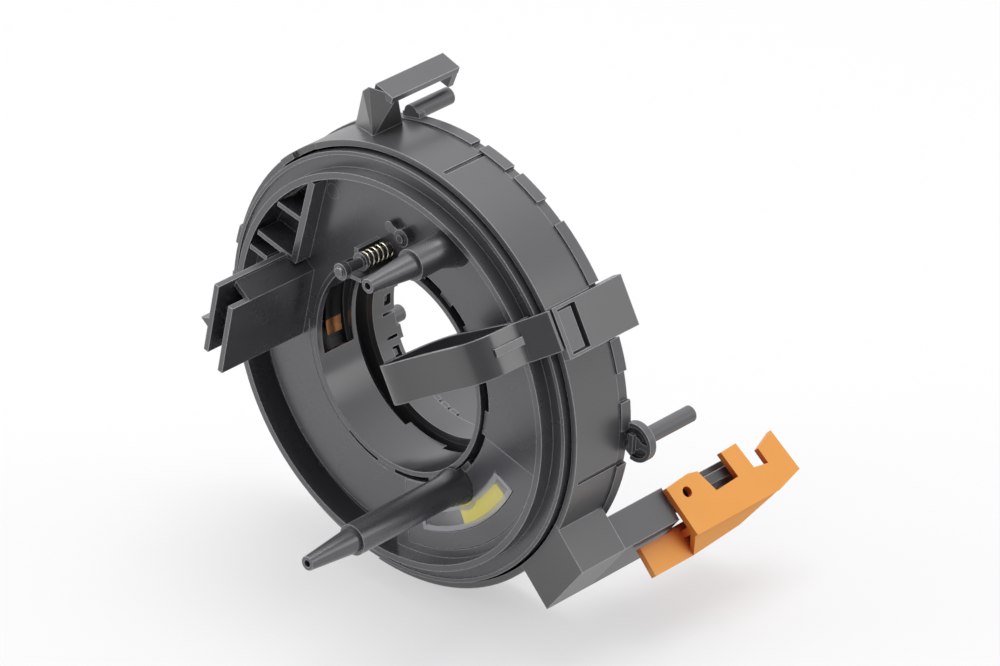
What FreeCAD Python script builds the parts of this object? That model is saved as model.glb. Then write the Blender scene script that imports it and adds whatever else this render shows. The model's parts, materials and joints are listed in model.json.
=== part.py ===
import FreeCAD, Part
import math
import os

os.makedirs("parts", exist_ok=True)
V = FreeCAD.Vector

# Frame: millimetres, X to the right seen from the driver's side, Z up, the steering wheel
# side looks along -Y. The origin is the middle of the bore at the rear mounting face.
# Places round the bore are given as an angle in degrees from +X towards +Z.

# Housing and rear cover
wall_r = 50.0
wall_t = 1.4
lip_y = -15.9
parting_y = -2.8
cover_r = wall_r + 0.45
cover_t = 1.8
collar_in_r = 21.5
collar_t = 1.7
collar_out_r = collar_in_r + collar_t
collar_front_y = -2.3
collar_rear_y = 4.2
lip_step = 0.9
lip_steps = [(119.5, 128.9), (134, 161), (166.5, 175), (190, 222), (236, 262)]
tab_notches = [(78.3, 80.9), (66.7, 69.5), (51.5, 58.2), (5.5, 13), (-12, -2),
               (136, 146), (186, 196), (240, 250)]
groove_at = [76.7, -11.0]
groove_deep = 0.5
groove_wide = 1.0

# Side catch plate on the wall
plate_at = 28.3
plate_half_w = 5.6
plate_t = 1.6
plate_out_r = wall_r + plate_t
plate_rear_y = 4.9
window_half_w = 4.9
window_y = (-14.6, -9.4)
catch_half_w = 4.4
catch_rear_y = -10.6

# Top hook and the two locating pins behind it
hook_rear_y = 9.5
hook_front_y = -12.5
hook_pin = (-10.2, 50.3)
hook_pin_r = 1.9
side_pin = (52.1, -4.5)
side_pin_r = 1.8
side_pin_tip_y = 16.5
side_collar_r = 4.4

# Tail box at the lower right, in its own directions: across and outwards
tail_turn = 42.4
tail_top = 18.8
tail_out = wall_r + 6.4
tail_low_out = tail_out + 2.8
tail_low = 2.8
tail_wall = 1.6
tail_rear_y = 13.9
tail_rear_in = wall_r - 1.3
tail_rear_wall = 0.9

# Tail connector
plug_low = 4.6
plug_top = 17.0
plug_in = tail_rear_in + tail_rear_wall
plug_out = tail_out - tail_wall - 0.2
plug_front_y = 1.0
plug_rear_y = 37.5
plug_wall = 1.2
mouth_deep = 15.0
contact_count = 6
contact_pitch = 1.55
contact_side = 0.64
tail_block_t = plug_in + 1.4

# Orange connector lock
lock_top = 20.6
lock_t = 1.5
lock_ledge_front_y = 2.9
lock_ledge_top = 16.2
lock_in = tail_out + 1.2
lock_out = lock_in + 6.7

# Rotor
tube_in_r = collar_out_r
tube_t = 1.2
tube_out_r = tube_in_r + tube_t
rim_gap = 0.54
rim_r = wall_r - wall_t - rim_gap
bead_in_r = rim_r - 0.86
bead_front_y = -17.5
shoulder_y = -17.0
step_r = rim_r - 3.66
step_in_r = step_r - 1.5
step_front_y = -20.44
face_r = step_in_r
face_y = -16.5
face_back_y = -14.7
skirt_rear_y = -12.4
skirt_t = 1.2
moat_r = step_in_r - 3.4
moat_y = -14.0
moat_back_y = -12.6
moat_angles = (-165, -91)
hole_r = tube_out_r + 0.35
slot_out_r = hole_r + 1.15
slot_angles = [(60.6, 71.9), (41.4, 52.8), (-2.2, 13.2), (-36.7, -15.4), (-93.2, -70), (-125.3, -104.4)]
hub_in_r = hole_r + 4.05
hub_t = 1.2
hub_out_r = hub_in_r + hub_t
hub_rear_y = -2.5
hub_slot = (175.0, 184.6)
bearing_gap = 0.08
bearing_t = 1.1
bearing_front_y = -5.0

# Bore tube
tube_front_y = -17.4
tube_rear_y = -5.7
tube_window = (152, 194)
tube_window_y = (-15.7, -6.9)

# Marker plate and lens
marker_in_r = slot_out_r + 0.2
marker_out_r = step_in_r - 2.0
marker_angles = (-86.0, -16.2)
marker_t = 0.7
lens_in_r = 31.1
lens_out_r = 36.9
lens_angles = (-79, -27)
lens_proud = 0.2
ledge = 0.5
fit_gap = 0.08

# Guide posts for the wheel
upper_post = (15.8, 34.6)
lower_post = (16.9, -21.6)
post_r = 3.5
post_bore_r = 2.0
upper_step_y = -29.0
upper_tip_y = -41.5
lower_step_y = -47.9
lower_tip_y = -61.0
tip_r = 2.7
tip_end_r = 1.6
tip_hole_r = 0.8
tip_plug_deep = 5.0

# Connector shroud, in its own directions: u to the right, v up, leaning back
shroud_turn = -12.5
shroud_front_y = -40.5
shroud_near_u = -27.0
shroud_far_u = -33.0
shroud_wall = 1.3
shroud_low_v = -8.6
shroud_high_v = 8.35
shroud_set_back = 5.0
pin_count = 4
pin_side = 0.64

# Pocket in the rotor face
pocket_floor_y = -14.0
strip_foot = (-26.6, 16.9)
strip_head = (-20.9, 37.4)
strip_t = 1.7
pocket_ribs = [((-31.1, 28.8), (-23.6, 27.2)), ((-37.2, 19.9), (-26.0, 16.9)), ((-39.6, 15.7), (-34.7, 14.5))]
rib_t = 1.1

# Centring lock
bolt_at = (-2.5, 27.1)
bolt_r = 1.1
bolt_front_y = -31.5
bolt_rear_y = -11.0
bolt_head_r = 2.1
bolt_head_y = -25.0
spring_front_y = -24.2
spring_rear_y = -16.9
spring_r = 1.75
wire_r = 0.25
spring_turns = 5
latch_at = (2.8, 32.0)
latch_r = 2.0
latch_stud_r = 0.9
latch_lobe = (-3.7, 1.2)

# Half speed carrier and the ribbon
carrier_in_r = hub_out_r + bearing_gap
carrier_out_r = rim_r - skirt_t - 0.56
carrier_front_y = -11.9
carrier_t = 0.8
yellow_r = (lens_in_r + 0.2, lens_out_r + 0.6)
yellow_angles = (-66, -41)
yellow_front_y = moat_back_y + 0.2
ribbon_front_y = -10.6
ribbon_rear_y = -2.9
ribbon_t = 0.25
ribbon_gap = 0.25
inner_coil_r = hub_out_r + 0.9
lead_y = (-10.6, -6.2)
outer_coil_r = wall_r - wall_t - 1.6
inner_turns = 1.6
outer_turns = 2.1767

# Transport clip
clip_at = 28.3
clip_half_w = 4.4
clip_mid = 1.1
clip_t = 1.0
clip_lip_gap = 0.35
clip_steps = 60


def at(radius, angle, y):
    """The point at a radius and an angle round the bore."""
    a = math.radians(angle)
    return V(radius * math.cos(a), y, radius * math.sin(a))


def turned(profile, start=0.0, end=360.0):
    """A closed outline of (radius, y) points turned round the bore from start to end."""
    points = [V(r, y, 0) for r, y in profile]
    face = Part.Face(Part.makePolygon(points + points[:1]))
    face.rotate(V(0, 0, 0), V(0, -1, 0), start)
    return face.revolve(V(0, 0, 0), V(0, -1, 0), end - start)


def ring(r_in, r_out, y0, y1, start=0.0, end=360.0):
    """A plain ring or a piece of one."""
    return turned([(r_in, y0), (r_out, y0), (r_out, y1), (r_in, y1)], start, end)


def prism(points, y0, y1):
    """A flat outline of (x, z) points pulled along Y."""
    corners = [V(x, y0, z) for x, z in points]
    return Part.Face(Part.makePolygon(corners + corners[:1])).extrude(V(0, y1 - y0, 0))


def flat(radius, angle):
    """The same point as (x, z)."""
    a = math.radians(angle)
    return (radius * math.cos(a), radius * math.sin(a))


def rod(place, r, y0, y1):
    """A round rod along Y."""
    return Part.makeCylinder(r, y1 - y0, V(place[0], y0, place[1]), V(0, 1, 0))


def tapered(place, r0, r1, y0, y1, sides=20):
    """A small round taper along Y, drawn with flat sides."""
    near = []
    far = []
    for k in range(sides):
        w = 2 * math.pi * k / sides
        near.append(V(place[0] + r0 * math.cos(w), y0, place[1] + r0 * math.sin(w)))
        far.append(V(place[0] + r1 * math.cos(w), y1, place[1] + r1 * math.sin(w)))
    faces = [polygon_face(near), polygon_face(far)]
    for k in range(sides):
        m = (k + 1) % sides
        faces.append(polygon_face([near[k], near[m], far[m], far[k]]))
    return faces_to_solid(faces)


def polygon_face(points):
    return Part.Face(Part.makePolygon(points + points[:1]))


def faces_to_solid(faces):
    solid = Part.Solid(Part.Shell(faces))
    if solid.Volume < 0:
        solid.reverse()
    return solid


def bar(angle, near, far, left, right, y0, y1):
    """A block given outwards from near to far and sideways from left to right."""
    block = Part.makeBox(far - near, y1 - y0, right - left, V(near, y0, left))
    block.rotate(V(0, 0, 0), V(0, -1, 0), angle)
    return block


def wall(p, q, t, y0, y1):
    """A straight upright wall from p to q."""
    dx = q[0] - p[0]
    dz = q[1] - p[1]
    size = math.hypot(dx, dz)
    nx = -dz / size * t / 2
    nz = dx / size * t / 2
    outline = [(p[0] + nx, p[1] + nz), (q[0] + nx, q[1] + nz), (q[0] - nx, q[1] - nz), (p[0] - nx, p[1] - nz)]
    return prism(outline, y0, y1)


def tail(n, t):
    """A point of the tail box, n across it and t outwards."""
    a = math.radians(tail_turn)
    return (n * math.cos(a) + t * math.sin(a), n * math.sin(a) - t * math.cos(a))


def tail_prism(points, y0, y1):
    return prism([tail(n, t) for n, t in points], y0, y1)


def shroud(u, v):
    """A point of the leaning connector shroud."""
    a = math.radians(shroud_turn)
    return (u * math.cos(a) - v * math.sin(a), u * math.sin(a) + v * math.cos(a))


def shroud_prism(points, y0, y1):
    return prism([shroud(u, v) for u, v in points], y0, y1)


def joined(shapes):
    whole = shapes[0].fuse(shapes[1:])
    return whole.removeSplitter()


def save(shape, name):
    solids = shape.Solids
    if len(solids) != 1:
        print(name, "solids:", len(solids), [round(s.Volume, 2) for s in solids])
    out = solids[0] if len(solids) == 1 else Part.makeCompound(solids)
    out.exportStep("parts/" + name + ".step")


# Housing
def tail_outline(inset, near):
    """The section of the tail box, inset by a wall thickness, from a near side outwards."""
    return [(tail_top - inset, near), (tail_top - inset, tail_out - inset),
            (tail_low + inset, tail_low_out - inset * 1.2), (tail_low - 0.3 + inset, near)]


def stator_housing():
    inner_r = wall_r - wall_t
    body = ring(inner_r, wall_r, lip_y, parting_y)
    box = tail_prism(tail_outline(0, 44.0), lip_y - 0.1, parting_y)
    box = box.cut(ring(0, inner_r, lip_y - 1, parting_y + 1))
    plate = bar(plate_at, wall_r - 1.0, plate_out_r, -plate_half_w, plate_half_w, lip_y + 0.1, plate_rear_y)
    plate = plate.cut(ring(0, wall_r - 0.4, parting_y, plate_rear_y + 1))
    body = joined([body, box, plate] + hook_shapes())
    body = body.cut(tail_prism(tail_outline(tail_wall, 46.5), lip_y + tail_wall, parting_y + 1))
    body = body.cut(ring(0, inner_r, lip_y - 1, lip_y + 0.01))
    for start, end in lip_steps:
        body = body.cut(ring(inner_r - 1, wall_r + 0.01, lip_y - 1, lip_y + lip_step, start, end))
    for angle in groove_at:
        body = body.cut(bar(angle, wall_r - groove_deep, wall_r + 2, -groove_wide / 2, groove_wide / 2,
                            lip_y + 1.5, parting_y + 1))
    window = bar(plate_at, wall_r - 0.1, plate_out_r + 1, -window_half_w, window_half_w, *window_y)
    catch = bar(plate_at, wall_r - 0.3, plate_out_r - 0.3, -catch_half_w, catch_half_w,
                window_y[0] - 0.1, catch_rear_y)
    return joined([body.cut(window), catch])


def hook_shapes():
    """The top hook: a three sided gusset on the wall, the arm and its turned down end."""
    front = V(-10.8, hook_front_y, 48.2)
    left = V(-22.3, hook_front_y + 6.4, 44.5)
    rear = V(-10.8, hook_front_y + 8.9, 48.2)
    low_ridge = V(-13.6, hook_front_y, 58.2)
    ridge = V(-11.8, hook_front_y, 59.7)
    corner = V(-6.9, hook_front_y + 3.5, 58.0)
    gusset = closed([[front, left, low_ridge], [front, low_ridge, ridge], [front, ridge, corner],
                     [front, corner, rear], [front, rear, left], [left, rear, corner],
                     [left, corner, ridge], [left, ridge, low_ridge]])
    section = [(-11.8, 59.7), (-6.9, 58.0), (-7.4, 56.5), (-12.3, 58.1)]
    arm = prism(section, hook_front_y + 2.0, hook_rear_y)
    tip = prism([(-11.8, 59.7), (-6.9, 58.0), (-8.9, 53.1), (-11.2, 53.8)], hook_rear_y - 1.5, hook_rear_y)
    return [gusset, arm, tip]


def closed(corners):
    """A solid from its flat faces, each given by its corners."""
    return faces_to_solid([polygon_face(points) for points in corners])


# Rear cover
def rear_cover():
    inner_r = wall_r - wall_t
    flange = turned([(collar_in_r, collar_front_y), (collar_out_r, collar_front_y), (collar_out_r, -cover_t),
                     (inner_r - 1.2, -cover_t), (inner_r - 1.2, parting_y), (cover_r, parting_y),
                     (cover_r, 0), (collar_out_r, 0), (collar_out_r, collar_rear_y),
                     (collar_in_r, collar_rear_y)])
    box = tail_prism(tail_outline(0, tail_rear_in), parting_y, tail_rear_y)
    box = box.cut(ring(0, cover_r - 0.6, -30, 0))
    collar = tapered(side_pin, side_collar_r, side_collar_r, -0.6, 1.2, 28)
    arm = bar(-4.9, 46.0, 52.6, -2.2, 2.2, -1.6, 1.0)
    pin = rod(side_pin, side_pin_r, 0.4, side_pin_tip_y)
    lug = bar(101.5, 46.0, 51.6, -2.4, 2.4, -1.8, 0)
    pin_top = tapered(hook_pin, hook_pin_r, hook_pin_r, -cover_t, hook_rear_y)
    bearing_r = hub_in_r - bearing_gap
    bearing = ring(bearing_r - bearing_t, bearing_r, bearing_front_y, -cover_t + 0.2)
    body = joined([flange, box, collar, arm, pin, lug, pin_top, bearing])
    hollow = tail_outline(tail_wall, tail_rear_in + tail_rear_wall)
    body = body.cut(tail_prism(hollow, parting_y - 1, tail_rear_y + 1))
    for start, end in tab_notches:
        body = body.cut(ring(wall_r - 0.4, wall_r + 1.5, parting_y - 0.1, 0.1, start, end))
    body = body.cut(bar(plate_at, wall_r - 1.2, wall_r + 3, -plate_half_w - 0.5, plate_half_w + 0.5, -4, 1))
    cup = tapered(side_pin, side_collar_r - 0.9, side_collar_r - 0.9, -0.7, 0.4)
    cup = cup.cut(rod(side_pin, side_pin_r - 0.2, -1, 2))
    body = body.cut(cup.cut(bar(-4.9, 46.0, 56.6, -0.7, 0.7, -2, 2.5)))
    return joined([trim_collar(body)] + collar_blocks())


def trim_collar(body):
    """Slots beside the collar's snap fingers and the square window in each finger."""
    for angle in (-150, 178, -60):
        for side in (-1, 1):
            left = side * 3.3 - 0.35
            body = body.cut(bar(angle, collar_in_r - 1.5, collar_out_r + 0.4, left, left + 0.7,
                                0.6, collar_rear_y + 1))
        body = body.cut(bar(angle, collar_in_r - 1.5, collar_out_r + 0.4, -1.3, 1.3, 1.2, 3.2))
    return body


def collar_blocks():
    """The small stop blocks round the collar's rear end."""
    blocks = []
    for angle in (-116, -109, -102):
        blocks.append(bar(angle, collar_in_r + 0.1, collar_out_r, -0.9, 0.9,
                          collar_rear_y - 0.5, collar_rear_y + 1.3))
    blocks.append(ring(collar_in_r, collar_out_r, collar_rear_y - 0.5, collar_rear_y + 1.0, 196, 204))
    blocks.append(ring(collar_in_r, collar_out_r, collar_rear_y - 0.5, collar_rear_y + 1.0, 142, 172))
    knob_r = 1.3
    knob_at = flat(collar_in_r + knob_r + 0.05, 165)
    blocks.append(tapered(knob_at, knob_r, knob_r, collar_rear_y - 0.2, collar_rear_y + 3.0, 14))
    return blocks


# Tail connector
def tail_connector():
    low = [(plug_low, plug_in), (plug_top, plug_in), (plug_top, plug_out), (plug_low, plug_out)]
    body = tail_prism(low, plug_front_y, plug_rear_y)
    low_side = tail_low + tail_wall
    high_side = tail_top - tail_wall
    collar = tail_prism([(low_side, plug_in), (high_side, plug_in), (high_side, plug_out),
                         (low_side, plug_out)], 4.0, tail_rear_y - 1)
    key_in = plug_in + 1.4
    key_out = key_in + 2.2
    key = tail_prism([(plug_top - 0.2, key_in), (plug_top + 1.2, key_in), (plug_top + 1.2, key_out),
                      (plug_top - 0.2, key_out)], tail_rear_y + 6, plug_rear_y - 2)
    hollow = [(plug_low + plug_wall, plug_in + plug_wall), (plug_top - plug_wall, plug_in + plug_wall),
              (plug_top - plug_wall, plug_out - plug_wall), (plug_low + plug_wall, plug_out - plug_wall)]
    body = joined([body, collar, key])
    body = body.cut(tail_prism(hollow, plug_rear_y - mouth_deep, plug_rear_y + 1))
    for number in range(contact_count):
        body = body.cut(contact_shape(number))
    return body


def contact_shape(number):
    middle = (plug_low + plug_top) / 2
    n = middle + (number - (contact_count - 1) / 2) * contact_pitch
    t = (plug_in + plug_out) / 2
    h = contact_side / 2
    square = [(n - h, t - h), (n + h, t - h), (n + h, t + h), (n - h, t + h)]
    return tail_prism(square, plug_front_y - 1.5, plug_rear_y - 3.0)


# Orange connector lock
def connector_lock():
    low = lock_top - lock_t
    outline = [(49.4, 13.4), (48.8, 20.6), (49.3, 23.2), (54.8, 25.3), (54.4, 32.4), (48.2, 31.4),
               (48.0, 36.3), (54.3, 37.5), (54.9, 41.6), (51.2, 41.1), (49.1, 46.7), (59.2, 48.5),
               (61.1, 40.6), (61.1, 14.7)]
    top = lock_sheet([(y, t) for t, y in outline], low)
    hx, hz = tail(low - 1, 52.1)
    nx, nz = tail(1, 0)
    top = top.cut(Part.makeCylinder(1.2, 4.0, V(hx, 18.0, hz), V(nx, 0, nz)))
    rim = [(lock_ledge_front_y, lock_in), (lock_ledge_front_y, lock_out), (14.7, lock_out),
           (29.0, lock_out - 0.9), (40.6, 61.0), (40.6, lock_in)]
    ledge_plate = lock_sheet(rim, lock_ledge_top - lock_t)
    ridge = [(14.7, 59.6), (14.7, lock_out), (29.0, lock_out - 0.9), (40.6, 61.1), (40.6, 59.6)]
    inner = tail_prism([(low + 0.2, 58.6), (low + 0.2, 60.2), (lock_ledge_top - 1.0, 60.2),
                        (lock_ledge_top - 1.0, 58.6)], 14.7, 40.6)
    slope = tail_prism([(lock_top, 60.2), (lock_ledge_top, lock_out), (lock_ledge_top - 1.5, lock_out),
                        (low, 59.6)], 14.7, 40.6)
    slope = slope.common(lock_sheet(ridge, lock_ledge_top - 3.0, 9.0))
    foot = tail_prism([(3.6, 57.0), (3.6, 58.4), (lock_ledge_top - 0.5, 58.4), (lock_ledge_top - 0.5, 57.0)],
                      tail_rear_y + 1.1, 36.0)
    return joined([top, ledge_plate, inner, slope, foot])


def lock_sheet(outline, n, t=lock_t):
    """A flat sheet of the lock at a height n, given as (y, outwards) points."""
    corners = []
    for y, out in outline:
        x, z = tail(n, out)
        corners.append(V(x, y, z))
    nx, nz = tail(t, 0)
    return polygon_face(corners).extrude(V(nx, 0, nz))


# Rotor
def rotor_disc():
    inner = skirt_t
    body = turned([(hole_r, face_y), (step_in_r, face_y), (step_in_r, step_front_y), (step_r, step_front_y),
                   (step_r, shoulder_y), (bead_in_r, shoulder_y), (bead_in_r, bead_front_y),
                   (rim_r, bead_front_y), (rim_r, skirt_rear_y), (rim_r - inner, skirt_rear_y),
                   (rim_r - inner, face_back_y), (hub_out_r, face_back_y), (hub_out_r, hub_rear_y),
                   (hub_in_r, hub_rear_y), (hub_in_r, face_back_y), (hole_r, face_back_y)])
    body = joined([body, ring(moat_r - 1.0, face_r + 1.0, face_back_y - 0.5, moat_back_y, *moat_angles),
                   pocket_block(face_back_y - 0.5, moat_back_y, 1.0)])
    body = body.cut(ring(moat_r, face_r, face_y - 1, moat_y, *moat_angles))
    body = body.cut(pocket_block(face_y - 1, pocket_floor_y, 0.0))
    for start, end in slot_angles:
        body = body.cut(ring(hole_r - 1, slot_out_r, face_y - 1, face_back_y + 1, start, end))
    body = body.cut(ring(marker_in_r - fit_gap, marker_out_r + fit_gap, face_y - 1, face_y + marker_t,
                         marker_angles[0] - 0.15, marker_angles[1] + 0.15))
    body = body.cut(ring(lens_in_r + ledge, lens_out_r - ledge, face_y - 1, face_back_y + 1,
                         lens_angles[0] + 1, lens_angles[1] - 1))
    adds = [pocket_wall(strip_foot, strip_head, strip_t)]
    for p, q in pocket_ribs:
        adds.append(pocket_wall(p, q, rib_t))
    adds += post_shapes() + shroud_shapes() + lock_brackets()
    body = joined([body] + adds)
    for place, step_y in ((lower_post, lower_step_y), (upper_post, upper_step_y)):
        body = body.cut(tapered(place, post_bore_r, post_bore_r, step_y - 1, face_y - 1.0))
    body = body.cut(ring(0, hole_r, tube_front_y - 0.3, face_back_y))
    body = body.cut(tapered(bolt_at, bolt_r + fit_gap, bolt_r + fit_gap, -70, -5, 16))
    body = body.cut(ring(hub_in_r - 1, hub_out_r + 1, ribbon_front_y - 0.4, hub_rear_y + 1, *hub_slot))
    return body


def pocket_block(y0, y1, grow):
    """The well in the face between the strip wall and the ring."""
    points = [(-26.3 + grow, 16.9 - grow), (-20.6 + grow, 37.3 + grow), (-21.0, 38.6 + grow), (-40.5, 20.0),
              (-40.9 - grow, 14.0)]
    return prism(points, y0, y1).common(ring(0, face_r + grow, y0 - 1, y1 + 1))


def pocket_wall(p, q, t):
    return wall(p, q, t, step_front_y, pocket_floor_y + 0.4).common(ring(0, step_in_r + 0.4, -30, 0))


def post_shapes():
    """The two guide posts with their flared feet."""
    lower = tapered(lower_post, post_r, post_r, lower_step_y, face_y + 0.2)
    lower_foot = tapered(lower_post, post_r, post_r + 1.0, -21.0, face_y + 0.2)
    upper = tapered(upper_post, post_r, post_r, upper_step_y, face_y + 0.2)
    upper_foot = tapered(upper_post, post_r, post_r + 1.6, -21.5, face_y + 0.2)
    return [lower, lower_foot, upper, upper_foot]


def shroud_shapes():
    """The wheel harness shroud: near and far plates, top and bottom plates and an outside rib."""
    t = shroud_wall
    near = shroud_prism([(shroud_near_u, shroud_low_v), (shroud_near_u, shroud_high_v),
                         (shroud_near_u - t, shroud_high_v), (shroud_near_u - t, shroud_low_v)],
                        shroud_front_y, face_y + 0.3)
    far = shroud_prism([(shroud_far_u, shroud_low_v + 2.6), (shroud_far_u, shroud_high_v + 2.8),
                        (shroud_far_u + t, shroud_high_v + 2.8), (shroud_far_u + t, shroud_low_v + 2.6)],
                       shroud_front_y, face_y + 0.3)
    top = shroud_prism([(shroud_near_u, shroud_high_v), (shroud_far_u, shroud_high_v + 2.8),
                        (shroud_far_u, shroud_high_v + 1.5), (shroud_near_u, shroud_high_v - t)],
                       shroud_front_y + shroud_set_back, face_y + 0.3)
    low_v = shroud_low_v + 1.0
    low = shroud_prism([(shroud_near_u, low_v), (shroud_far_u, low_v + 2.6),
                        (shroud_far_u, low_v + 2.6 + t), (shroud_near_u, low_v + t)],
                       shroud_front_y + 4.0, face_y + 0.3)
    rib = shroud_prism([(shroud_far_u - 2.2, 1.1), (shroud_far_u + 0.4, 2.4), (shroud_far_u + 0.4, -0.2)],
                       shroud_front_y, face_y + 0.3)
    near_u = shroud_near_u - 0.5
    far_u = shroud_far_u + 0.5
    floor = shroud_prism([(near_u, shroud_low_v + 1.4), (near_u, shroud_high_v - 0.6),
                          (far_u, shroud_high_v + 1.9), (far_u, shroud_low_v + 4.0)], -22.0, face_y + 0.3)
    floor = floor.cut(shroud_pins_shape())
    return [near, far, top, low, rib, floor]


def shroud_pin(number):
    u = (shroud_near_u - shroud_wall + shroud_far_u + shroud_wall) / 2
    v = -3.0 + number * 2.6
    h = pin_side / 2
    return shroud_prism([(u - h, v - h), (u + h, v - h), (u + h, v + h), (u - h, v + h)], -35.0, -19.0)


def shroud_pins_shape():
    return joined([shroud_pin(number) for number in range(pin_count)])


def lock_brackets():
    """The trough under the bolt, the side bracket and the pivot stud of the latch."""
    x, z = bolt_at
    trough = prism([(x - 2.6, z - 2.9), (x + 2.6, z - 2.9), (x + 2.6, z - 2.1), (x - 2.6, z - 2.1)],
                   -27.5, face_y + 0.2)
    side = prism([(x - 3.6, z - 2.9), (x - 2.5, z - 2.9), (x - 2.5, z + 1.4), (x - 3.6, z + 1.4)],
                 -23.0, face_y + 0.2)
    stud = rod(latch_at, latch_stud_r, -18.9, face_y + 0.2)
    return [trough, side, stud]


def bore_tube():
    body = ring(tube_in_r, tube_out_r, tube_front_y, tube_rear_y)
    window = ring(tube_in_r - 1, tube_out_r + 1, tube_window_y[0], tube_window_y[1], *tube_window)
    tab = ring(tube_in_r, tube_out_r, tube_rear_y - 1, tube_rear_y + 1.6, -112, -85)
    body = joined([body.cut(window), tab])
    for angle in (27, -54, -98, 125):
        hook = ring(tube_out_r - 0.2, hole_r + 1.6, face_back_y + 0.05, face_back_y + 1.0,
                    angle - 5, angle + 5)
        body = body.fuse(hook)
    return body.removeSplitter()


def marker_plate():
    y1 = face_y + marker_t
    plate = ring(marker_in_r, marker_out_r, face_y, y1, *marker_angles)
    plate = plate.cut(ring(lens_in_r, lens_out_r, face_y - 1, y1 + 1, *lens_angles))
    plate = plate.cut(rod(lower_post, post_r + 1.1, -30, 0))
    solids = sorted(plate.Solids, key=lambda s: s.Volume)
    return solids[-1]


def lens():
    y1 = face_y + marker_t
    body = ring(lens_in_r + fit_gap, lens_out_r - fit_gap, face_y - lens_proud, y1,
                lens_angles[0] + 0.15, lens_angles[1] - 0.15)
    return body.cut(rod(lower_post, post_r + 1.1, -30, 0))


def guide_tip(place, step_y, tip_y):
    """The tapered tip that is pressed into a guide post."""
    mid_y = step_y - 1.2
    neck_r = post_bore_r - 0.02
    neck = tapered(place, neck_r, neck_r, step_y, step_y + tip_plug_deep)
    collar = tapered(place, tip_r, tip_r, mid_y, step_y)
    cone = tapered(place, tip_end_r, tip_r, tip_y, mid_y)
    body = joined([neck, collar, cone])
    return body.cut(tapered(place, tip_hole_r, tip_hole_r, tip_y - 1, tip_y + 5, 12))


def inner_carrier():
    """The block that clamps the ribbon's inner end in the hub's slot."""
    block = ring(hub_in_r + 0.05, hub_out_r, ribbon_front_y - 0.3, hub_rear_y - 0.1, hub_slot[0], 180.0)
    pad = ring(hub_out_r, inner_coil_r - ribbon_t / 2, ribbon_front_y, hub_rear_y - 0.1, 172.0, 180.0)
    return joined([block, pad])


def ribbon_lead():
    """The bare copper end of the ribbon that runs inwards through the hub's slot."""
    t = 0.35
    outside = wall(flat(hub_out_r + 0.4, 181.4), flat(hub_in_r - 1.4, 182.2), t, lead_y[0], lead_y[1])
    inside = ring(hub_in_r - 1.6, hub_in_r - 1.6 + t, lead_y[0], lead_y[1], 163.0, 190.5)
    return joined([outside, inside])


# Centring lock
def lock_bolt():
    shaft = tapered(bolt_at, bolt_r, bolt_r, bolt_front_y, bolt_rear_y, 16)
    cap_r = bolt_head_r - 0.2
    cap = tapered(bolt_at, cap_r, cap_r, bolt_front_y + 0.6, bolt_front_y + 2.2, 16)
    head = tapered(bolt_at, bolt_head_r, bolt_head_r, bolt_head_y, spring_front_y, 16)
    stop = tapered(bolt_at, bolt_r + 0.4, bolt_r + 0.4, face_back_y, face_back_y + 0.7, 16)
    return joined([shaft, cap, head, stop])


def lock_spring():
    """A coil of round wire, drawn as short straight lengths with flat ground end coils."""
    per_turn = 11
    sides = 5
    height = spring_rear_y - spring_front_y - 2 * wire_r
    stations = []
    for i in range(per_turn * spring_turns + 1):
        angle = 2 * math.pi * i / per_turn
        y = spring_front_y + wire_r + height * i / (per_turn * spring_turns)
        loop = []
        for k in range(sides):
            w = 2 * math.pi * k / sides
            r = spring_r + wire_r * math.cos(w)
            x = bolt_at[0] + r * math.cos(angle)
            z = bolt_at[1] + r * math.sin(angle)
            loop.append(V(x, y + wire_r * math.sin(w), z))
        stations.append(loop)
    faces = [polygon_face(stations[0]), polygon_face(stations[-1])]
    for one, two in zip(stations, stations[1:]):
        for k in range(sides):
            m = (k + 1) % sides
            faces.append(polygon_face([one[k], one[m], two[m]]))
            faces.append(polygon_face([one[k], two[m], two[k]]))
    return faces_to_solid(faces)


def latch_lever():
    """The small latch that swings on its stud beside the bolt."""
    lobe_at = (latch_at[0] + latch_lobe[0], latch_at[1] + latch_lobe[1])
    disc = tapered(latch_at, latch_r, latch_r, -18.4, face_y)
    lobe = tapered(lobe_at, 1.3, 1.3, -18.0, face_y, 16)
    arm = wall(latch_at, lobe_at, 1.8, -18.0, face_y)
    body = joined([disc, lobe, arm])
    hole_r = latch_stud_r + fit_gap
    return body.cut(rod(latch_at, hole_r, -30, 0))


# Half speed carrier
def carrier_ring():
    y1 = carrier_front_y + carrier_t
    body = ring(carrier_in_r, carrier_out_r, carrier_front_y, y1)
    place = flat((inner_coil_r + outer_coil_r) / 2, 180.0 + 360.0 * inner_turns)
    post = tapered(place, 5.2, 5.2, y1 - 0.2, ribbon_rear_y - 0.4).cut(tapered(place, 4.0, 4.0, y1 + 0.2, 0))
    return joined([body, post])


def yellow_segment():
    return ring(yellow_r[0], yellow_r[1], yellow_front_y, carrier_front_y, *yellow_angles)


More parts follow.
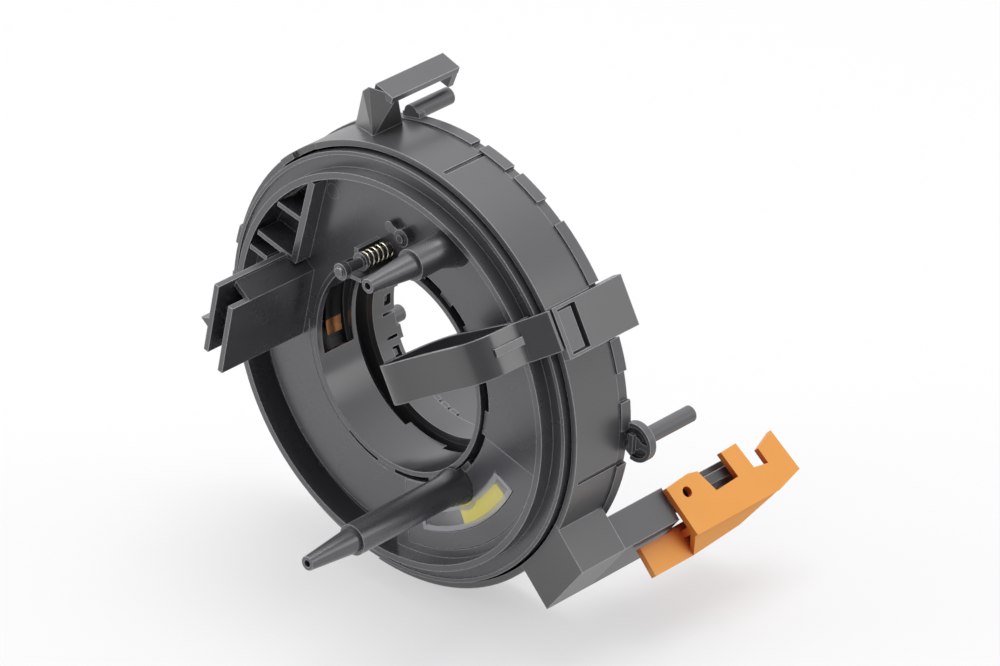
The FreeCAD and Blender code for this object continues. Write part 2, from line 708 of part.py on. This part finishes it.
# Ribbon
def ribbon_line():
    """The middle line of the ribbon: inner coil, turn back loop, outer coil and the way out to the tail."""
    step = 6.0
    pitch = (ribbon_t + ribbon_gap) * step / 360.0
    steps = int(inner_turns * 360 / step)
    line = [at(inner_coil_r + pitch * i, 180.0 + i * step, 0) for i in range(steps + 1)]
    last_r = inner_coil_r + pitch * steps
    last_a = 180.0 + steps * step
    steps = int(outer_turns * 360 / step)
    out_r = outer_coil_r - pitch * steps
    middle = (last_r + out_r) / 2
    bend = (out_r - last_r) / 2
    for k in range(1, 12):
        w = math.radians(180.0 * k / 12)
        swing = math.degrees(bend * math.sin(w) / middle)
        line.append(at(middle - bend * math.cos(w), last_a + swing, 0))
    line += [at(out_r + pitch * i, last_a - i * step, 0) for i in range(steps + 1)]
    line += [at(47.6, -30.2, 0), at(49.3, -33.6, 0)]
    x, z = tail(8.5, tail_block_t - ribbon_t / 2)
    line.append(V(x, 0, z))
    return line


def ribbon_cable():
    curve = Part.BSplineCurve()
    curve.interpolate(ribbon_line())
    left = []
    right = []
    count = 120
    first = curve.FirstParameter
    final = curve.LastParameter
    for i in range(count + 1):
        u = first + (final - first) * i / count
        middle = curve.value(u)
        way = curve.tangent(u)[0]
        side = V(way.z, 0, -way.x)
        side.normalize()
        left.append(middle + side * (ribbon_t / 2))
        right.append(middle - side * (ribbon_t / 2))
    face = polygon_face(left + right[::-1])
    face.translate(V(0, ribbon_front_y, 0))
    return face.extrude(V(0, ribbon_rear_y - ribbon_front_y, 0))


def outer_carrier():
    """The block in the tail that holds the ribbon's outer end."""
    near = tail_block_t
    far = near + 2.0
    return tail_prism([(6.0, near), (16.0, near), (16.0, far), (6.0, far)], -9.5, plug_front_y - 1.5)


# Transport clip
def clip_line():
    """The side view of the clip's band as (outwards, y) points: back band, fold, near band."""
    back = [(43.6, -20.94), (38.0, -20.94), (32.0, -21.0), (25.5, -21.6), (22.0, -25.0), (20.6, -30.0)]
    fold = [(19.4, -34.6), (19.8, -36.7), (21.6, -37.2)]
    near = [(24.8, -36.2), (28.0, -35.2), (36.0, -33.8), (41.5, -32.4), (44.2, -29.5), (44.9, -26.0),
            (45.6, -21.2)]
    return back + fold + near


def transport_clip():
    low = clip_mid - clip_half_w
    high = clip_mid + clip_half_w
    reach = plate_out_r - 0.2
    end_y = lip_y - clip_lip_gap
    saddle = [(43.2, step_front_y), (46.1, step_front_y), (wall_r + 0.4, end_y), (reach, end_y),
              (reach, end_y - 0.9), (46.6, step_front_y - clip_t), (43.2, step_front_y - clip_t)]
    curve = Part.BSplineCurve()
    curve.interpolate([V(r, y, 0) for r, y in clip_line()])
    left = []
    right = []
    for i in range(clip_steps + 1):
        u = curve.FirstParameter + (curve.LastParameter - curve.FirstParameter) * i / clip_steps
        way = curve.tangent(u)[0]
        side = V(-way.y, way.x, 0)
        left.append(curve.value(u) + side * (clip_t / 2))
        right.append(curve.value(u) - side * (clip_t / 2))
    parts = [side_plate([V(r, y, 0) for r, y in saddle], low, high)]
    parts.append(side_plate(left + right[::-1], low, high))
    parts.append(bar(clip_at, step_r + 0.25, step_r + 1.6, low, high, step_front_y - 0.2, shoulder_y - 0.6))
    return joined(parts)


def side_plate(outline, low, high):
    """A side view outline given a width across the clip."""
    body = polygon_face(outline).extrude(V(0, 0, high - low))
    body.translate(V(0, 0, low))
    body.rotate(V(0, 0, 0), V(0, -1, 0), clip_at)
    return body


def main_pieces():
    save(stator_housing(), "stator_housing")
    save(rear_cover(), "rear_cover")
    save(tail_connector(), "tail_connector")
    for number in range(contact_count):
        save(contact_shape(number), "tail_contact_" + str(number + 1))
    save(connector_lock(), "connector_lock")
    save(outer_carrier(), "outer_carrier")
    save(rotor_disc(), "rotor_disc")
    save(bore_tube(), "bore_tube")
    save(marker_plate(), "marker_plate")
    save(lens(), "lens")
    save(guide_tip(upper_post, upper_step_y, upper_tip_y), "upper_guide_tip")
    save(guide_tip(lower_post, lower_step_y, lower_tip_y), "lower_guide_tip")
    save(inner_carrier(), "inner_carrier")
    save(ribbon_lead(), "ribbon_lead")
    for number in range(pin_count):
        save(shroud_pin(number), "shroud_contact_" + str(number + 1))
    save(lock_bolt(), "lock_bolt")
    save(lock_spring(), "lock_spring")
    save(latch_lever(), "latch_lever")
    save(carrier_ring(), "carrier_ring")
    save(yellow_segment(), "yellow_segment")
    save(ribbon_cable(), "ribbon_cable")
    save(transport_clip(), "transport_clip")


main_pieces()
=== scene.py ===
import json
import math

import bmesh
import bpy
from mathutils import Matrix, Vector

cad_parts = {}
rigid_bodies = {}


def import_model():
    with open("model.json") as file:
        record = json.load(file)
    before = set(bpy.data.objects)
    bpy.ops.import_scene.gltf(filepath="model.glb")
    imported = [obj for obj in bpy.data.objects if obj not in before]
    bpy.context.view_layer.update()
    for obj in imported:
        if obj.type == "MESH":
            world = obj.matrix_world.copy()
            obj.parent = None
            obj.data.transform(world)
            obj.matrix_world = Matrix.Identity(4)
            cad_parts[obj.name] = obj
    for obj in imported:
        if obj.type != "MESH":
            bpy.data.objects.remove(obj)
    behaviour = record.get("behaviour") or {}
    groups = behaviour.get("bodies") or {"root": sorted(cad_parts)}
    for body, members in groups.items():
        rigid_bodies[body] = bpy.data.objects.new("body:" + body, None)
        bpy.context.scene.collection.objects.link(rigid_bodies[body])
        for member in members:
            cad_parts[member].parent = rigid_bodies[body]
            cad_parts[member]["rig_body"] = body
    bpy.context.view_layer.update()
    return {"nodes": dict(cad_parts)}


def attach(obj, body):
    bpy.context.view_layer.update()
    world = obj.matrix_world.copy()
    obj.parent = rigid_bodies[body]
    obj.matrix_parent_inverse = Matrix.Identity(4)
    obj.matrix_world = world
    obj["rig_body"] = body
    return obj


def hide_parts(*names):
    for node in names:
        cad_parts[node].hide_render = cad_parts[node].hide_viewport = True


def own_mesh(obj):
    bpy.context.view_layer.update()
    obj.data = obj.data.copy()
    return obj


# Camera, floor and light
# A studio cut-out on white, taken from the front right and above with a long lens. The white
# floor and tent are brighter behind the object than on the camera's side, with three soft lamps.
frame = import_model()

camera = bpy.data.cameras.new("camera")
camera.lens = 228.06
camera.sensor_width = 36.0
camera.clip_start = 0.05
camera.clip_end = 20.0
camera_object = bpy.data.objects.new("camera", camera)
camera_object.location = (0.8091, -0.8434, 0.6382)
camera_object.rotation_euler = (math.radians(61.42), 0.0, math.radians(43.33))
bpy.context.collection.objects.link(camera_object)
bpy.context.scene.camera = camera_object
bpy.context.scene.view_settings.view_transform = "Standard"


def new_material(name):
    """A material with its nodes, links and main shader."""
    material = bpy.data.materials.new(name)
    material.use_nodes = True
    nodes = material.node_tree.nodes
    return material, nodes, material.node_tree.links, nodes["Principled BSDF"]


def ranged(nodes, links, value, low, high, to_low=0.0, to_high=1.0):
    """A value carried from the range low to high over to another range."""
    carry = nodes.new("ShaderNodeMapRange")
    carry.inputs["From Min"].default_value = low
    carry.inputs["From Max"].default_value = high
    carry.inputs["To Min"].default_value = to_low
    carry.inputs["To Max"].default_value = to_high
    links.new(value, carry.inputs["Value"])
    return carry.outputs["Result"]


def seen_white(nodes, links, dull, output, share, rays):
    """White for the rays named, mixed over the dull shader by a share, so a shadow still shows."""
    path = nodes.new("ShaderNodeLightPath")
    seen = path.outputs[rays[0]]
    for ray in rays[1:]:
        either = nodes.new("ShaderNodeMath")
        either.operation = "MAXIMUM"
        links.new(seen, either.inputs[0])
        links.new(path.outputs[ray], either.inputs[1])
        seen = either.outputs[0]
    part = nodes.new("ShaderNodeMath")
    part.operation = "MULTIPLY"
    links.new(seen, part.inputs[0])
    part.inputs[1].default_value = share
    white = nodes.new("ShaderNodeEmission" if output.bl_idname == "ShaderNodeOutputMaterial"
                      else "ShaderNodeBackground")
    white.inputs["Strength"].default_value = 1.0
    white.inputs["Color"].default_value = (1, 1, 1, 1)
    mix = nodes.new("ShaderNodeMixShader")
    links.new(part.outputs[0], mix.inputs[0])
    links.new(dull, mix.inputs[1])
    links.new(white.outputs[0], mix.inputs[2])
    links.new(mix.outputs[0], output.inputs["Surface"])


world = bpy.data.worlds.new("white_studio")
bpy.context.scene.world = world
world.use_nodes = True
world_nodes = world.node_tree.nodes
world_links = world.node_tree.links
sky = world_nodes["Background"]
sky.inputs["Color"].default_value = (0.98, 0.98, 1.0, 1.0)
way = world_nodes.new("ShaderNodeTexCoord")
behind = world_nodes.new("ShaderNodeVectorMath")
behind.operation = "DOT_PRODUCT"
world_links.new(way.outputs["Generated"], behind.inputs[0])
behind.inputs[1].default_value = (-0.55, 0.65, 0.15)
tent = ranged(world_nodes, world_links, behind.outputs["Value"], -0.75, 0.55, 0.38, 1.25)
world_links.new(tent, sky.inputs["Strength"])
seen_white(world_nodes, world_links, sky.outputs[0], world_nodes["World Output"], share=1.0,
           rays=("Is Camera Ray", "Is Transmission Ray"))


def soft_lamp(name, place, size, watts):
    """A soft box that shines at the middle of the bore."""
    data = bpy.data.lights.new(name, "AREA")
    data.shape = "RECTANGLE"
    data.size, data.size_y = size
    data.energy = watts
    lamp = bpy.data.objects.new(name, data)
    lamp.location = place
    lamp.rotation_euler = (-Vector(place)).to_track_quat("-Z", "Y").to_euler()
    bpy.context.collection.objects.link(lamp)


soft_lamp("left_front_lamp", place=(-0.75, -0.75, 0.45), size=(0.6, 0.5), watts=3.5)
soft_lamp("top_lamp", place=(-0.05, 0.15, 1.0), size=(0.7, 0.45), watts=5.0)
soft_lamp("right_lamp", place=(1.0, 0.55, 0.5), size=(0.6, 0.6), watts=1.6)

floor_height = -0.0522
bpy.ops.mesh.primitive_plane_add(size=6.0, location=(0, 0, floor_height))
floor = bpy.context.object
floor.name = "floor"
floor_material, floor_nodes, floor_links, floor_shader = new_material("white_floor")
floor_shader.inputs["Base Color"].default_value = (0.68, 0.68, 0.68, 1)
floor_shader.inputs["Roughness"].default_value = 0.8
seen_white(floor_nodes, floor_links, floor_shader.outputs[0], floor_nodes["Material Output"],
           share=0.5, rays=("Is Camera Ray", "Is Glossy Ray", "Is Transmission Ray"))
floor.data.materials.append(floor_material)


# Stator housing
# One black injection moulding: the outer wall with its stepped lip and grooves, the side plate,
# the top hook and the front half of the tail box. It is clipped to the rear cover.
def noise(nodes, links, scale, detail=None, roughness=None):
    """Noise laid over a piece's own Object coordinates."""
    place = nodes.new("ShaderNodeTexCoord")
    pattern = nodes.new("ShaderNodeTexNoise")
    pattern.inputs["Scale"].default_value = scale
    if detail is not None:
        pattern.inputs["Detail"].default_value = detail
    if roughness is not None:
        pattern.inputs["Roughness"].default_value = roughness
    links.new(place.outputs["Object"], pattern.inputs["Vector"])
    return pattern.outputs["Fac"]


def blended(nodes, links, share, low, high):
    """A colour between low and high by a share; each end is a colour or another node's output."""
    mix = nodes.new("ShaderNodeMix")
    mix.data_type = "RGBA"
    links.new(share, mix.inputs[0])
    for socket, colour in ((mix.inputs[6], low), (mix.inputs[7], high)):
        if isinstance(colour, tuple):
            socket.default_value = (*colour, 1)
        else:
            links.new(colour, socket)
    return mix.outputs[2]


def relief(nodes, links, shader, height, strength, distance):
    """Fine relief on the shader's own surface."""
    bump = nodes.new("ShaderNodeBump")
    bump.inputs["Strength"].default_value = strength
    bump.inputs["Distance"].default_value = distance
    links.new(height, bump.inputs["Height"])
    links.new(bump.outputs["Normal"], shader.inputs["Normal"])


def rubbed_edges(nodes, links):
    """How far a point lies on an edge, where a painted highlight lightens the colour."""
    rounded = nodes.new("ShaderNodeBevel")
    rounded.samples = 4
    rounded.inputs["Radius"].default_value = 0.0003
    flat = nodes.new("ShaderNodeNewGeometry")
    turned = nodes.new("ShaderNodeVectorMath")
    turned.operation = "DOT_PRODUCT"
    links.new(rounded.outputs["Normal"], turned.inputs[0])
    links.new(flat.outputs["Normal"], turned.inputs[1])
    return ranged(nodes, links, turned.outputs["Value"], 0.99, 0.88, to_high=0.8)


def black_plastic(name, shade, roughness, grain, grain_size=2600.0):
    """Moulded black plastic: a fine eroded grain, soft patches where it is a little duller, and
    painted highlights along its edges.
    """
    material, nodes, links, shader = new_material(name)
    patches = noise(nodes, links, scale=70.0, detail=5.0, roughness=0.6)
    dull = ranged(nodes, links, patches, 0.3, 0.7, roughness - 0.015, roughness + 0.02)
    links.new(dull, shader.inputs["Roughness"])
    darker = (shade[0] * 0.94, shade[1] * 0.94, shade[2] * 0.95)
    lighter = (shade[0] * 1.06, shade[1] * 1.06, shade[2] * 1.05)
    tone = blended(nodes, links, patches, darker, lighter)
    # Painted highlight: the colour is lightened towards grey along every edge.
    edge_highlighted = blended(nodes, links, rubbed_edges(nodes, links), tone, (0.5, 0.5, 0.52))
    links.new(edge_highlighted, shader.inputs["Base Color"])
    grains = noise(nodes, links, scale=grain_size, detail=4.0)
    relief(nodes, links, shader, grains, strength=grain, distance=0.00004)
    shader.inputs["IOR"].default_value = 1.6
    shader.inputs["Specular IOR Level"].default_value = 0.85
    return material


def merged_copy(node):
    """The mesh of a CAD piece with its corners merged and its flats whole."""
    mesh = bmesh.new()
    mesh.from_mesh(frame["nodes"][node].data)
    bmesh.ops.remove_doubles(mesh, verts=mesh.verts, dist=2e-6)
    bmesh.ops.dissolve_limit(mesh, angle_limit=math.radians(0.5), verts=mesh.verts,
                             edges=mesh.edges)
    return mesh


def rounded_piece(name, mesh, material, edge, angle, segments=2, clamp=True):
    """An object from a mesh, with small rounded edges and even shading over its flats."""
    data = bpy.data.meshes.new(name)
    mesh.to_mesh(data)
    mesh.free()
    piece = bpy.data.objects.new(name, data)
    bpy.context.collection.objects.link(piece)
    data.materials.append(material)
    for face in data.polygons:
        face.use_smooth = True
    rounding = piece.modifiers.new("rounded_edges", "BEVEL")
    rounding.width = edge
    rounding.segments = segments
    rounding.limit_method = "ANGLE"
    rounding.angle_limit = math.radians(angle)
    rounding.use_clamp_overlap = clamp
    shading = piece.modifiers.new("even_shading", "WEIGHTED_NORMAL")
    shading.keep_sharp = True
    return piece


def finished_copy(node, material, edge, angle=24.0, segments=2, mesh=None, clamp=True):
    """A finished copy of a CAD piece that rides on its body and stands for it."""
    mesh = mesh or merged_copy(node)
    piece = rounded_piece(node + "_look", mesh, material, edge, angle, segments, clamp)
    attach(piece, frame["nodes"][node]["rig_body"])
    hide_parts(node)
    return piece


housing_black = black_plastic("housing_black", (0.046, 0.046, 0.048), roughness=0.32, grain=0.14)
stator_housing = finished_copy("stator_housing", housing_black, edge=0.00013)

# Rear cover
# The second black moulding: notched flange, bore collar with snap fingers and windows, the rear
# half of the tail box and the locating pins. A shade duller than the housing.
cover_black = black_plastic("cover_black", (0.042, 0.042, 0.045), roughness=0.4, grain=0.18)
rear_cover = finished_copy("rear_cover", cover_black, edge=0.00011)


def made_piece(name, mesh, material, body, edge=0.00012):
    """A new piece from its mesh, with rounded edges, riding on a body."""
    bmesh.ops.remove_doubles(mesh, verts=mesh.verts, dist=1e-6)
    bmesh.ops.recalc_face_normals(mesh, faces=mesh.faces)
    piece = rounded_piece(name, mesh, material, edge, angle=30.0)
    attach(piece, body)
    return piece


def rotate_mesh(mesh, degrees, axis):
    """Turns a mesh about an axis through the middle of the bore."""
    bmesh.ops.rotate(mesh, cent=(0, 0, 0), matrix=Matrix.Rotation(math.radians(degrees), 3, axis),
                     verts=mesh.verts)


def move_mesh(mesh, millimetres):
    """Moves a mesh by a distance in millimetres."""
    bmesh.ops.translate(mesh, vec=[v / 1000 for v in millimetres], verts=mesh.verts)


def box_mesh(size):
    """A box of a size in millimetres about the origin."""
    mesh = bmesh.new()
    bmesh.ops.create_cube(mesh, size=1.0)
    bmesh.ops.scale(mesh, vec=[v / 1000 for v in size], verts=mesh.verts)
    return mesh


def spun_piece(name, profile, start, end, material, body):
    """An outline of (radius, y) points in millimetres turned round the bore into a solid piece."""
    mesh = bmesh.new()
    corners = [mesh.verts.new((r / 1000, y / 1000, 0)) for r, y in profile]
    face = mesh.faces.new(corners)
    rotate_mesh(mesh, -start, "Y")
    bmesh.ops.spin(mesh, geom=[face] + list(mesh.verts) + list(mesh.edges), cent=(0, 0, 0),
                   axis=(0, -1, 0), angle=math.radians(end - start),
                   steps=max(4, round((end - start) / 3)), use_duplicate=False)
    return made_piece(name, mesh, material, body)


def block(name, centre, size, turn, material, body):
    """A rounded block: centre and size in millimetres, turned about the bore axis."""
    mesh = box_mesh(size)
    rotate_mesh(mesh, -turn, "Y")
    move_mesh(mesh, centre)
    return made_piece(name, mesh, material, body)


def round_peg(name, radius, length, centre, sides, material, body, edge):
    """A round peg along the bore axis: radius, length and centre in millimetres."""
    mesh = bmesh.new()
    bmesh.ops.create_cone(mesh, cap_ends=True, segments=sides, radius1=radius / 1000,
                          radius2=radius / 1000, depth=length / 1000)
    rotate_mesh(mesh, 90, "X")
    move_mesh(mesh, centre)
    return made_piece(name, mesh, material, body, edge)


window_angles = (-150, 178, -60)
band_half_angle = 11
band_in, band_out = 23.25, 23.9
band_front, band_rear = 0.1, 4.1
snap_r, snap_y = 22.7, 2.2
for number, angle in enumerate(window_angles, 1):
    band = [(band_in, band_front), (band_out, band_front), (band_out, band_rear),
            (band_in, band_rear)]
    sleeve = spun_piece("collar_band_" + str(number), band, angle - band_half_angle,
                        angle + band_half_angle, cover_black, "stator")
    a = math.radians(angle)
    snap_centre = (snap_r * math.cos(a), snap_y, snap_r * math.sin(a))
    snap_head = block("snap_head_" + str(number), snap_centre, (1.2, 1.2, 1.5), angle,
                      cover_black, "stator")
rear_peg = round_peg("rear_peg", radius=1.9, length=9.2, centre=(-24.3, 4.4, -6.0), sides=32,
                     material=cover_black, body="stator", edge=0.0003)
wall_in, wall_out = 27.6, 28.8
wall_front, wall_rear = -0.2, 21.5
lip_in, lip_front, lip_rear = 25.8, 7.4, 8.6
wall_outline = [(lip_in, lip_front), (wall_in, lip_front), (wall_in, wall_front),
                (wall_out, wall_front), (wall_out, wall_rear), (wall_in, wall_rear),
                (wall_in, lip_rear), (lip_in, lip_rear)]
rear_wall = spun_piece("rear_wall", wall_outline, -128, -66, cover_black, "stator")

# Tail connector and its contacts
# Glass filled black contact housing pushed into the tail box, with six square tinned contacts.
connector_black = black_plastic("connector_black", (0.012, 0.012, 0.014), roughness=0.42,
                                grain=0.25, grain_size=3600.0)
tail_connector = finished_copy("tail_connector", connector_black, edge=0.00012)


def bright_metal(name, colour, roughness, line_scale):
    """Drawn or tinned metal with fine marks along its length."""
    material, nodes, links, shader = new_material(name)
    place = nodes.new("ShaderNodeTexCoord")
    stretch = nodes.new("ShaderNodeMapping")
    stretch.inputs["Scale"].default_value = (line_scale, line_scale * 0.05, line_scale)
    links.new(place.outputs["Object"], stretch.inputs["Vector"])
    lines = nodes.new("ShaderNodeTexNoise")
    lines.inputs["Scale"].default_value = 1.0
    lines.inputs["Detail"].default_value = 5.0
    links.new(stretch.outputs["Vector"], lines.inputs["Vector"])
    dull = ranged(nodes, links, lines.outputs["Fac"], 0.0, 1.0, roughness - 0.08, roughness + 0.1)
    links.new(dull, shader.inputs["Roughness"])
    relief(nodes, links, shader, lines.outputs["Fac"], strength=0.2, distance=0.00002)
    shader.inputs["Metallic"].default_value = 1.0
    shader.inputs["Base Color"].default_value = (*colour, 1)
    return material


tinned = bright_metal("tinned_contact", (0.72, 0.72, 0.7), roughness=0.28, line_scale=2500.0)
for number in range(1, 7):
    contact = finished_copy("tail_contact_" + str(number), tinned, edge=0.00006)

# Orange connector lock
# A loose sliding lock moulded in plain orange nylon, smooth, with painted shade that turns it dark
# red in its inner corners.
# It slides over the tail connector.
orange, orange_nodes, orange_links, orange_shader = new_material("lock_orange")
orange_flow = noise(orange_nodes, orange_links, scale=90.0, detail=6.0)
orange_tone = blended(orange_nodes, orange_links, orange_flow, (0.72, 0.28, 0.035),
                      (0.78, 0.33, 0.055))
# Painted shade: ambient occlusion mixes dark red into the orange in inner corners and recesses.
orange_shade_probe = orange_nodes.new("ShaderNodeAmbientOcclusion")
orange_shade_probe.samples = 8
orange_shade_probe.inputs["Distance"].default_value = 0.009
orange_painted_shade = ranged(orange_nodes, orange_links, orange_shade_probe.outputs["AO"], 0.45, 0.95)
orange_colour = blended(orange_nodes, orange_links, orange_painted_shade, (0.5, 0.07, 0.015), orange_tone)
orange_links.new(orange_colour, orange_shader.inputs["Base Color"])
relief(orange_nodes, orange_links, orange_shader, orange_flow, strength=0.08, distance=0.0001)
orange_shader.inputs["Roughness"].default_value = 0.42
connector_lock = finished_copy("connector_lock", orange, edge=0.00025, segments=3)

# Rotor disc
# The large glossy black moulding that turns with the wheel: stepped rim, face, pocket, harness
# shroud, guide posts and the trough for the centring lock.
rotor_black = black_plastic("rotor_black", (0.044, 0.044, 0.049), roughness=0.27, grain=0.03)
rotor_disc = finished_copy("rotor_disc", rotor_black, edge=0.00013)
for number in range(1, 5):
    contact = finished_copy("shroud_contact_" + str(number), tinned, edge=0.00006)
ejector_mark = round_peg("ejector_mark", radius=1.8, length=0.4, centre=(-18.5, -16.38, 34.7),
                         sides=48, material=rotor_black, body="rotor", edge=0.00004)
line_in, line_out = 26.1, 26.35
line_front, line_rear = -16.6, -16.3
line_outline = [(line_in, line_rear), (line_in, line_front), (line_out, line_front),
                (line_out, line_rear)]
bore_line = spun_piece("bore_line", line_outline, 176, 264, rotor_black, "rotor")

# Bore tube
# A polished black tube snapped into the rotor's bore. Its window shows the ribbon's bare end.
tube_black = black_plastic("tube_black", (0.036, 0.036, 0.04), roughness=0.2, grain=0.05)
bore_tube = finished_copy("bore_tube", tube_black, edge=0.00012, clamp=False)

# Ribbon and its holders
# The flat ribbon coiled inside, its lead at the window with the film stripped off the lower part
# of the copper, and the two carrier blocks that clamp its ends.
copper_colour = (0.78, 0.36, 0.16)
copper = bright_metal("copper_foil", copper_colour, roughness=0.3, line_scale=1800.0)
copper_nodes = copper.node_tree.nodes
copper_links = copper.node_tree.links
copper_shader = copper_nodes["Principled BSDF"]
lead_place = copper_nodes.new("ShaderNodeTexCoord")
lead_split = copper_nodes.new("ShaderNodeSeparateXYZ")
copper_links.new(lead_place.outputs["Object"], lead_split.inputs[0])
bare = ranged(copper_nodes, copper_links, lead_split.outputs["Z"], -0.0013, -0.0016)
lead_tone = blended(copper_nodes, copper_links, bare, (0.014, 0.013, 0.013), copper_colour)
copper_links.new(lead_tone, copper_shader.inputs["Base Color"])
copper_links.new(bare, copper_shader.inputs["Metallic"])
ribbon_lead = finished_copy("ribbon_lead", copper, edge=0.00005)
film, film_nodes, film_links, film_shader = new_material("ribbon_film")
film_place = film_nodes.new("ShaderNodeTexCoord")
film_lines = film_nodes.new("ShaderNodeTexWave")
film_lines.bands_direction = "Y"
film_lines.inputs["Scale"].default_value = 180.0
film_links.new(film_place.outputs["Object"], film_lines.inputs["Vector"])
film_tone = blended(film_nodes, film_links, film_lines.outputs["Fac"], (0.55, 0.36, 0.14),
                    (0.68, 0.48, 0.24))
film_links.new(film_tone, film_shader.inputs["Base Color"])
film_shader.inputs["Roughness"].default_value = 0.35
ribbon_cable = finished_copy("ribbon_cable", film, edge=0.00002, angle=40.0, segments=1)
for node in ("inner_carrier", "outer_carrier"):
    holder = finished_copy(node, connector_black, edge=0.0001)

# Carrier ring with the yellow mark
# A ring of natural, off-white acetal that turns on the hub at part speed. Its yellow mark is a
# separate insert that shows under the lens while the rotor is centred.
natural, natural_nodes, natural_links, natural_shader = new_material("carrier_natural")
natural_flow = noise(natural_nodes, natural_links, scale=120.0)
natural_tone = blended(natural_nodes, natural_links, natural_flow, (0.66, 0.66, 0.7),
                       (0.74, 0.74, 0.78))
natural_links.new(natural_tone, natural_shader.inputs["Base Color"])
natural_shader.inputs["Roughness"].default_value = 0.4
carrier_ring = finished_copy("carrier_ring", natural, edge=0.0001)
yellow, yellow_nodes, yellow_links, yellow_shader = new_material("marker_yellow")
yellow_flow = noise(yellow_nodes, yellow_links, scale=300.0)
yellow_tone = blended(yellow_nodes, yellow_links, yellow_flow, (0.95, 0.84, 0.04),
                      (0.98, 0.9, 0.08))
yellow_links.new(yellow_tone, yellow_shader.inputs["Base Color"])
yellow_shader.inputs["Roughness"].default_value = 0.45
# Painted light: the yellow mark glows a little through its emission, which brightens it under the
# lens.
yellow_shader.inputs["Emission Color"].default_value = (0.95, 0.8, 0.06, 1)
yellow_shader.inputs["Emission Strength"].default_value = 0.45
yellow_segment = finished_copy("yellow_segment", yellow, edge=0.00008)

# Marker plate and lens
# A flush dark grey plate let into the rotor face, and the clear lens pressed into it, with a
# frosted border where it is held.
marker_grey = black_plastic("marker_grey", (0.062, 0.063, 0.07), roughness=0.28, grain=0.08)
marker_plate = finished_copy("marker_plate", marker_grey, edge=0.00012)
clear, clear_nodes, clear_links, clear_shader = new_material("clear_lens")
clear_haze = noise(clear_nodes, clear_links, scale=500.0)
clear_links.new(ranged(clear_nodes, clear_links, clear_haze, 0.0, 1.0, 0.03, 0.09),
                clear_shader.inputs["Roughness"])
clear_shader.inputs["Base Color"].default_value = (0.5, 0.5, 0.53, 1)
clear_shader.inputs["Alpha"].default_value = 0.2
clear_shader.inputs["IOR"].default_value = 1.49
frosted, frosted_nodes, frosted_links, frosted_shader = new_material("clear_lens_border")
frosted_grain = noise(frosted_nodes, frosted_links, scale=4000.0)
frosted_tone = blended(frosted_nodes, frosted_links, frosted_grain, (0.36, 0.37, 0.4),
                       (0.44, 0.45, 0.48))
frosted_links.new(frosted_tone, frosted_shader.inputs["Base Color"])
frosted_shader.inputs["Roughness"].default_value = 0.4
frosted_shader.inputs["Alpha"].default_value = 0.75
border_width = 0.0012
border_depth = 0.00008
lens_mesh = merged_copy("lens")
lens_front = min(lens_mesh.faces,
                 key=lambda face: (round(face.calc_center_median().y, 5), -face.calc_area()))
lens_border = bmesh.ops.inset_individual(lens_mesh, faces=[lens_front], thickness=border_width,
                                         depth=-border_depth)
for face in lens_border["faces"]:
    face.material_index = 1
lens = finished_copy("lens", clear, edge=0.00012, mesh=lens_mesh)
lens.data.materials.append(frosted)

# Guide tips
# Tapered black tips pressed into the two posts; they find the holes of the steering wheel.
for node in ("upper_guide_tip", "lower_guide_tip"):
    tip = finished_copy(node, rotor_black, edge=0.00012)

# Centring lock
# The bolt in its trough, the bright spring on it and the latch on its stud, all on the rotor.
lock_bolt = finished_copy("lock_bolt", tube_black, edge=0.00008)
latch_lever = finished_copy("latch_lever", tube_black, edge=0.00012)
spring_steel = bright_metal("spring_steel", (0.72, 0.68, 0.55), roughness=0.22, line_scale=1500.0)
lock_spring = finished_copy("lock_spring", spring_steel, edge=0.00002, angle=80.0, segments=1)
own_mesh(lock_spring)

# Transport clip
# A thin springy black loop, moulded in one piece and hooked over the rim, with a raised rib on
# its strap. It is pulled off once the wheel is fitted.
clip_black = black_plastic("clip_black", (0.028, 0.028, 0.03), roughness=0.19, grain=0.04)
transport_clip = finished_copy("transport_clip", clip_black, edge=0.00018, angle=42.0, segments=3,
                               clamp=False)
rib_size = (0.8, 9.8, 1.8)
rib_lean = -7.5
rib_centre = (45.9, -23.8, 1.5)
clip_turn = -28.3
rib_mesh = box_mesh(rib_size)
rotate_mesh(rib_mesh, rib_lean, "Z")
move_mesh(rib_mesh, rib_centre)
rotate_mesh(rib_mesh, clip_turn, "Y")
clip_rib = made_piece("clip_rib", rib_mesh, clip_black, "clip", edge=0.0001)
